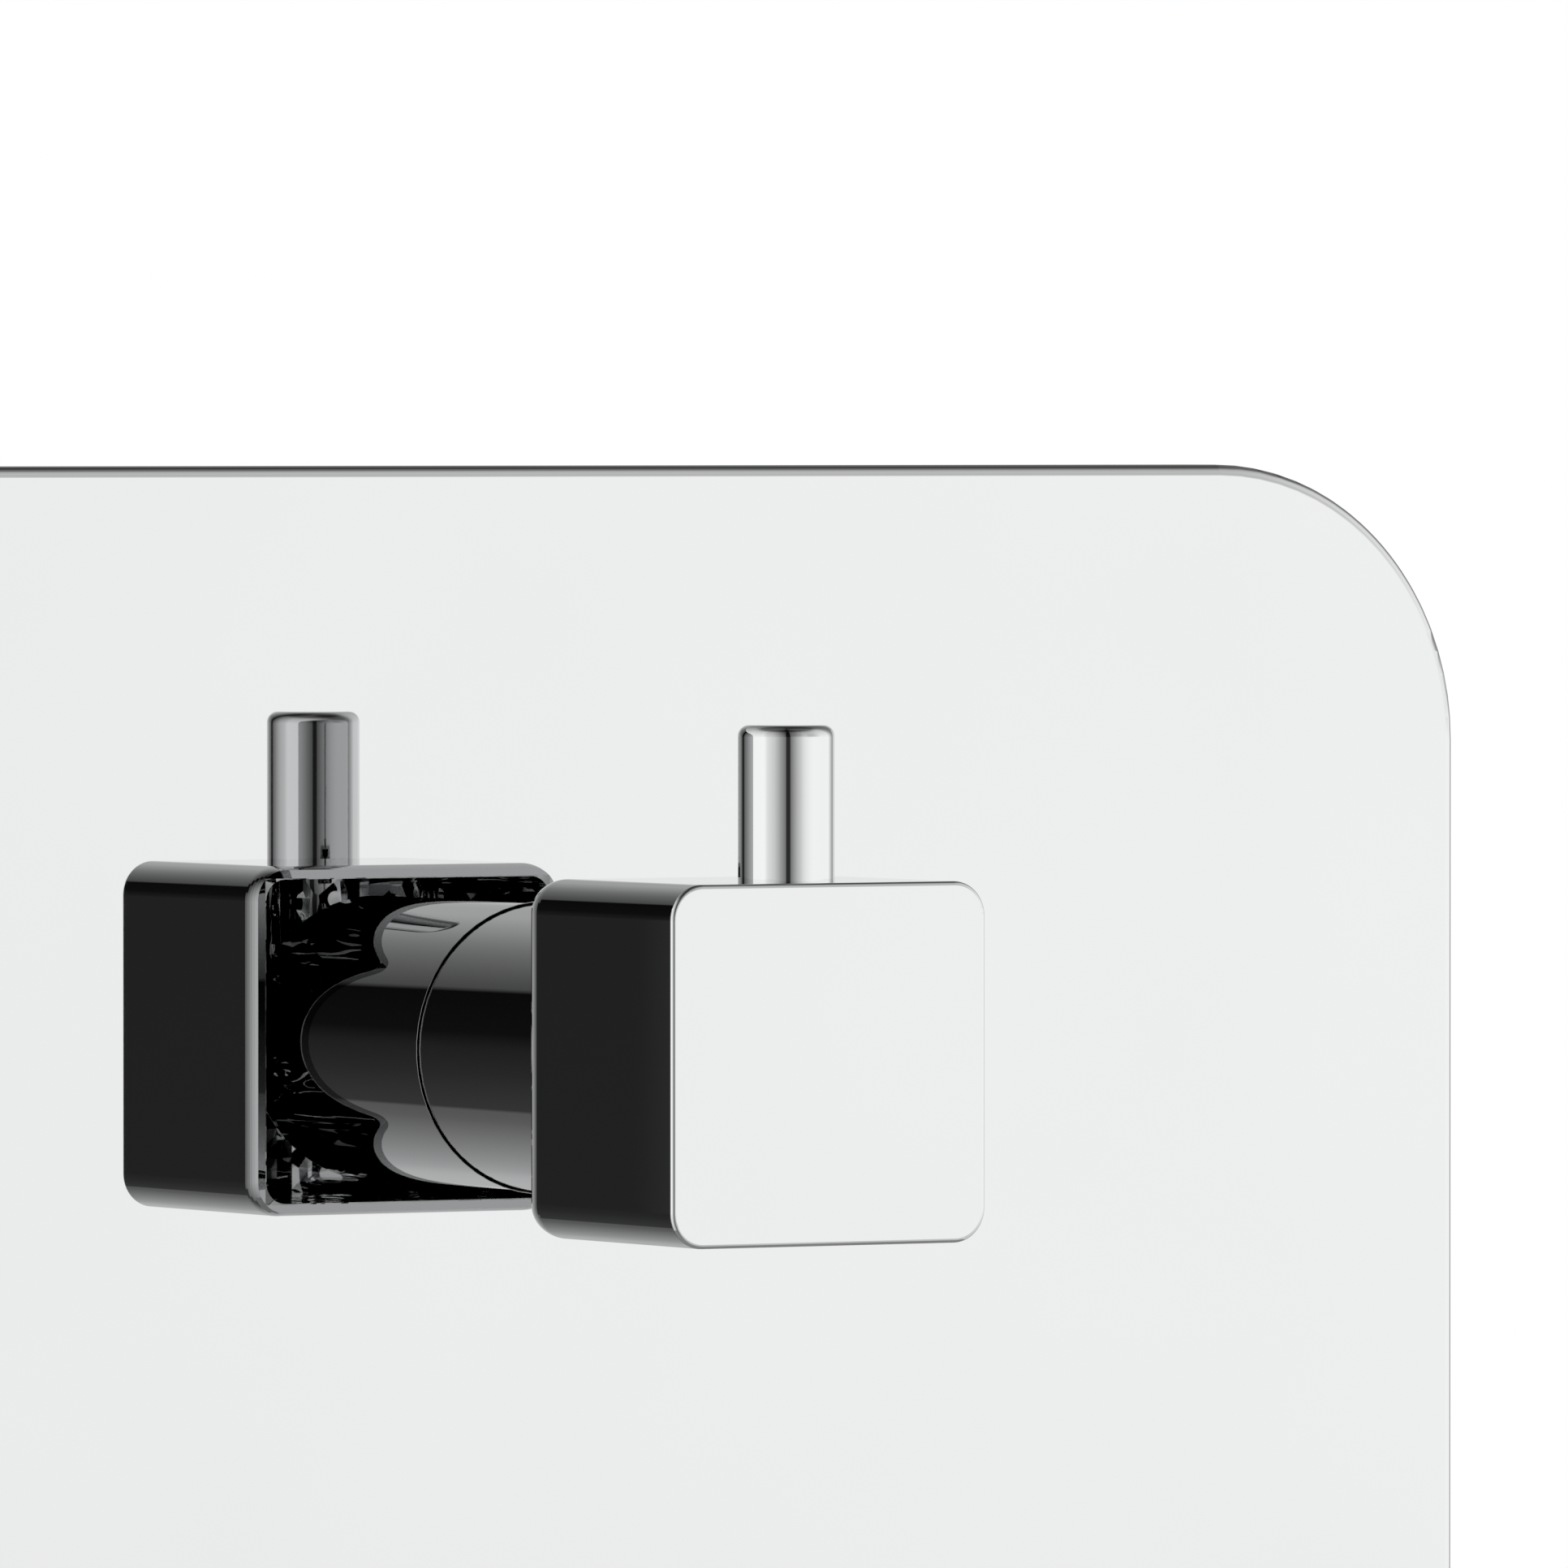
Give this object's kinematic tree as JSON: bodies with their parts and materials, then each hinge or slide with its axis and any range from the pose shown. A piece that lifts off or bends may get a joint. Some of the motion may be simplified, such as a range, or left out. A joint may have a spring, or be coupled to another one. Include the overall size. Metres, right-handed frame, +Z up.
{
  "type": "shower diverter valve",
  "caption": "Concealed shower diverter: a rounded-square knob with an upright lever pin on a round sleeve, a polished wall plate, and a ceramic-disc brass valve body behind the wall.",
  "frame": {"origin": "on the knob's turning axis, in the plane of the finished wall that the plate's seal rests on", "axes": "+Z up, +Y into the wall along the knob's axis, -Y out towards the user, +X to the user's right"},
  "size_m": [0.231, 0.1368, 0.156],
  "materials": {
    "polished_plate": "mirror-polished chrome plate on pressed steel",
    "polished_chrome": "mirror-polished chrome plate",
    "cast_brass": "as-cast brass with machined faces",
    "turned_brass": "turned brass",
    "zinc_steel": "zinc-plated steel",
    "screw_steel": "plain stainless steel",
    "black_rubber": "moulded black rubber",
    "grey_foam": "closed-cell foam rubber",
    "black_plastic": "moulded plastic",
    "white_plastic": "moulded acetal",
    "ceramic": "lapped ceramic"
  },
  "bodies": {
    "wall_unit": {"trim_plate": "polished_plate", "plate_gasket": "grey_foam", "plate_seal": "black_rubber", "plate_carrier": "zinc_steel", "stud_grommets": "black_rubber", "carrier_pillars": "zinc_steel", "carrier_screws": "screw_steel", "valve_body": "cast_brass", "base_seal": "black_rubber", "cartridge_base": "black_plastic", "base_o_ring": "black_rubber", "fixed_disc": "ceramic", "cartridge_housing": "white_plastic", "thrust_washer": "white_plastic", "retaining_nut": "turned_brass", "sleeve_guide": "turned_brass", "guide_o_rings": "black_rubber", "sleeve": "polished_chrome", "spindle_bush": "white_plastic"},
    "handle": {"moving_disc": "ceramic", "disc_driver": "white_plastic", "stem": "turned_brass", "stem_o_rings": "black_rubber", "stem_clip": "screw_steel", "extension_spindle": "turned_brass", "spindle_screw": "screw_steel", "spline_insert": "white_plastic", "knob_shell": "polished_chrome", "grub_screw": "screw_steel", "lever_pin": "polished_chrome", "pin_stud": "screw_steel"}
  },
  "joints": [
    {"name": "handle_turn", "type": "hinge", "parent": "wall_unit", "child": "handle", "pos_m": [0, 0, 0], "axis": [0, -1, 0], "range_deg": [-90, 90]}
  ]
}
